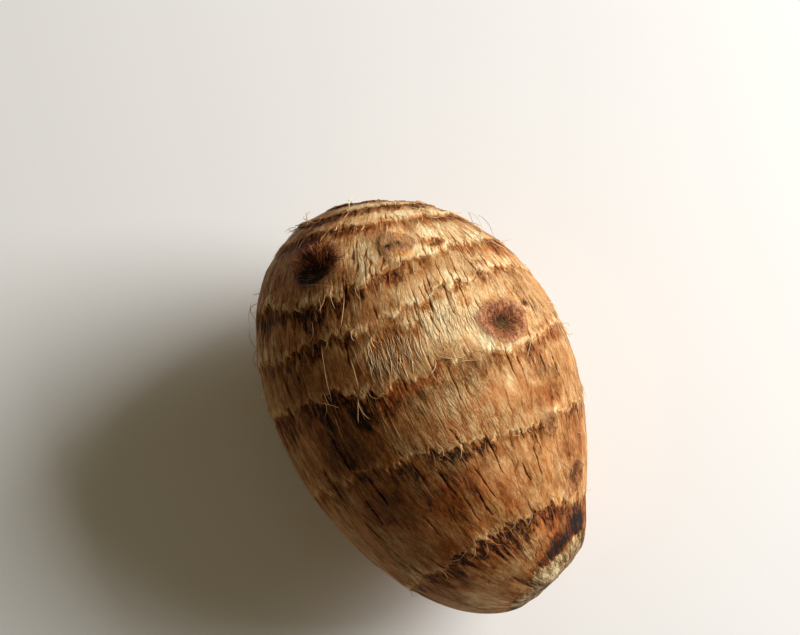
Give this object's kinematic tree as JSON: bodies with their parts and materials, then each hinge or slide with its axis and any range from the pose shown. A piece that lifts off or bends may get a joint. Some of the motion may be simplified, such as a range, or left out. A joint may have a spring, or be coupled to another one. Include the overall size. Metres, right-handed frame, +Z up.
{
  "type": "taro root",
  "caption": "Small egg-shaped taro corm lying on its side: ringed, fibrous brown skin with side buds, a sunken crown end and a broken-off scar at the narrow end.",
  "frame": {"origin": "on the surface that the corm lies on, below the middle of its bounding box", "axes": "+X along the longest way towards the crown end, +Z up, +Y to the side that the scar end bends away from"},
  "size_m": [0.0882, 0.0612, 0.0568],
  "materials": {
    "corky_skin": "dry, matte, fibrous brown skin"
  },
  "bodies": {
    "root": {"corm": "corky_skin"}
  },
  "joints": []
}
